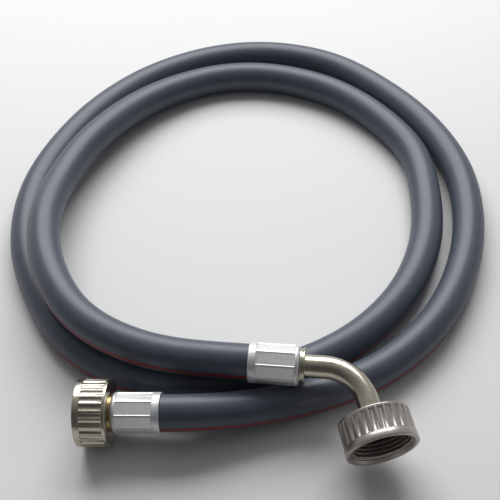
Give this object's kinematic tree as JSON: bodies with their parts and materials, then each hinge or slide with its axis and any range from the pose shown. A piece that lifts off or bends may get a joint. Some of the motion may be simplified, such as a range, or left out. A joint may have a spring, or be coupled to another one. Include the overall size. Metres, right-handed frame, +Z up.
{
  "type": "appliance inlet hose",
  "caption": "Coiled flexible water inlet hose with a straight and an elbow threaded swivel nut end.",
  "frame": {"origin": "centre of the bounding box seen from above, on the plane that the hose lies on", "axes": "+Z up from the plane the hose lies on, +Y along the longer way across the turns with both ends at the -Y side, +X towards the right-hand turn"},
  "size_m": [0.2405, 0.293, 0.037],
  "materials": {
    "cover_pvc": "satin",
    "stripe_ink": "satin",
    "braid_yarn": "matte",
    "liner_pvc": "satin",
    "ferrule_metal": "satin",
    "brass": "satin",
    "nickel_plate": "satin",
    "nickel_matte": "satin",
    "washer_rubber": "matte"
  },
  "bodies": {
    "hose": {"outer_cover": "cover_pvc", "marker_stripe": "stripe_ink", "braid": "braid_yarn", "inner_tube": "liner_pvc", "straight_ferrule": "ferrule_metal", "straight_tail": "brass", "straight_washer": "washer_rubber", "elbow_ferrule": "ferrule_metal", "elbow_collar": "nickel_plate", "elbow_tube": "nickel_plate", "elbow_seat": "nickel_plate", "elbow_washer": "washer_rubber"},
    "straight_swivel": {"straight_nut": "nickel_plate"},
    "elbow_swivel": {"elbow_nut": "nickel_matte"}
  },
  "joints": [
    {"name": "straight_nut_spin", "type": "hinge", "parent": "hose", "child": "straight_swivel", "pos_m": [-0.05858, -0.12101, 0.01579], "axis": [-0.9944, 0.0636, -0.0842], "continuous": true},
    {"name": "elbow_nut_spin", "type": "hinge", "parent": "hose", "child": "elbow_swivel", "pos_m": [0.05202, -0.12757, 0.02185], "axis": [0.2307, -0.9523, -0.1997], "continuous": true}
  ]
}
